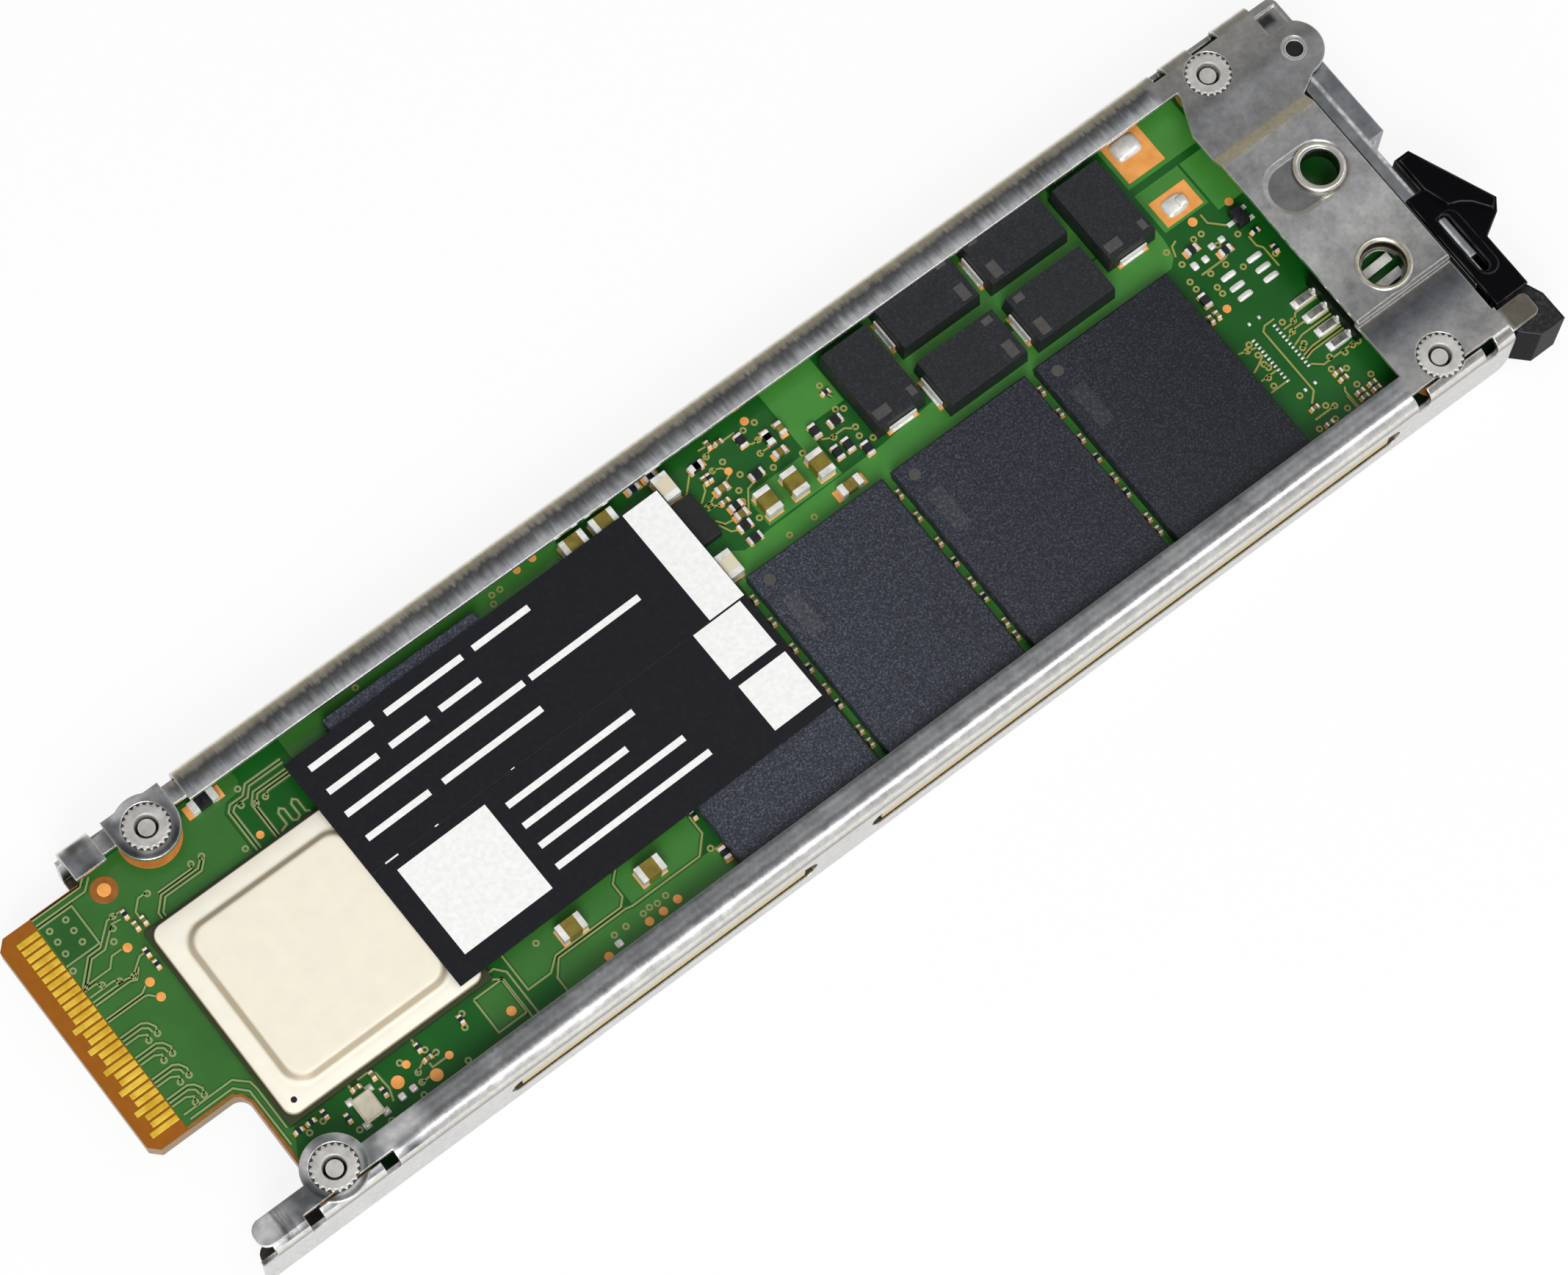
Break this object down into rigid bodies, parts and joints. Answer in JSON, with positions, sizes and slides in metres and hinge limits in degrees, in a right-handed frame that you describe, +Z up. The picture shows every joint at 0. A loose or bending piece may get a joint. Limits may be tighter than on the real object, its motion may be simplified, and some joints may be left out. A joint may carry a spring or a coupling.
{
  "type": "solid state drive",
  "caption": "Ruler-form data center solid state drive: a card-edge circuit board with memory packages in a folded sheet-steel carrier with a hinged handle and a sliding latch.",
  "frame": {"origin": "middle of the bounding box in plan, on the surface that the carrier's floor lips rest on", "axes": "+X along the drive from the card edge to the handle, +Y across the drive towards the pivot ear, +Z up from the rest surface to the board's component side"},
  "size_m": [0.117, 0.0326, 0.0071],
  "materials": {
    "steel": "satin, rolled grain along the rails",
    "fastener_steel": "matte plated",
    "solder_mask": "glossy green solder mask on fibre laminate",
    "gold": "smooth gold plating",
    "laminate": "green laminate",
    "nickel": "satin nickel plating",
    "mould_compound": "fine-grained epoxy",
    "tantalum_case": "satin epoxy",
    "tin": "bright tin",
    "capacitor_ceramic": "smooth brown ceramic",
    "resistor_black": "glazed black",
    "latch_black": "fine-textured moulding",
    "label_black": "satin printed sticker"
  },
  "bodies": {
    "carrier": {"carrier_frame": "steel", "clinch_nuts": "fastener_steel", "board_screws": "fastener_steel", "handle_pin": "fastener_steel", "circuit_board": "solder_mask", "edge_contacts": "gold", "controller_substrate": "laminate", "controller_lid": "nickel", "clock_can": "nickel", "flash_1": "mould_compound", "flash_2": "mould_compound", "flash_3": "mould_compound", "flash_4": "mould_compound", "flash_5": "mould_compound", "flash_6": "mould_compound", "flash_7": "mould_compound", "flash_8": "mould_compound", "working_memory": "mould_compound", "power_chip": "mould_compound", "tantalum_1": "tantalum_case", "tantalum_2": "tantalum_case", "tantalum_3": "tantalum_case", "tantalum_4": "tantalum_case", "tantalum_5": "tantalum_case", "tantalum_6": "tantalum_case", "tantalum_terminals": "tin", "ceramic_terminals": "tin", "ceramic_capacitors": "capacitor_ceramic", "chip_resistors": "resistor_black", "resistor_terminals": "tin", "contact_housing": "latch_black", "contact_springs": "tin", "label_lower": "label_black", "label_upper": "label_black"},
    "handle": {"drive_handle": "steel"},
    "latch": {"release_latch": "latch_black"}
  },
  "joints": [
    {"name": "handle_swing", "type": "hinge", "parent": "carrier", "child": "handle", "pos_m": [0.05427, 0.01134, 0.00515], "axis": [0, 0, 1], "range_deg": [0, 60]},
    {"name": "latch_slide", "type": "slide", "parent": "handle", "child": "latch", "axis": [0, 1, 0], "range_m": [0, 0.0015]}
  ]
}
